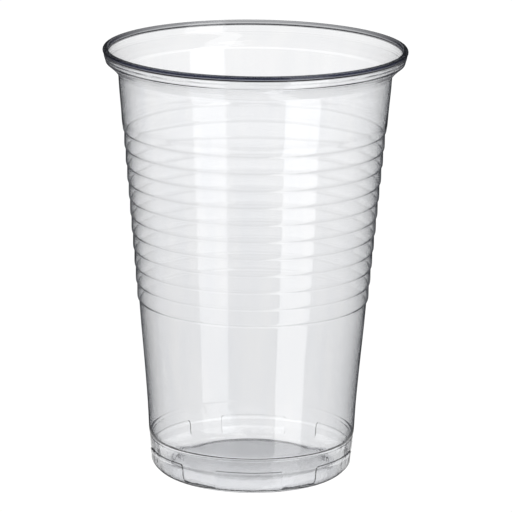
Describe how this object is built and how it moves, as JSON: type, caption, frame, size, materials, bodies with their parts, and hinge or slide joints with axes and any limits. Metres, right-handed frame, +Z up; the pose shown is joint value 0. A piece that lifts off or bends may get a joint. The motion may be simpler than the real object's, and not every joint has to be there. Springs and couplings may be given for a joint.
{
  "type": "plastic disposable cup",
  "caption": "Clear plastic disposable drinking cup: tapered, with a beaded rim, a flared collar, fine stepped rings round the wall and a short foot with six low raised pads.",
  "frame": {"origin": "centre of the ring that the cup stands on, on the cup's axis", "axes": "+Z up along the cup's axis, out of the open mouth; X and Y level, with one foot pad centred on +Y and one on -Y, the side that the picture shows"},
  "size_m": [0.0702, 0.0702, 0.1008],
  "materials": {
    "clear_plastic": "clear, glossy"
  },
  "bodies": {
    "root": {"cup": "clear_plastic"}
  },
  "joints": []
}
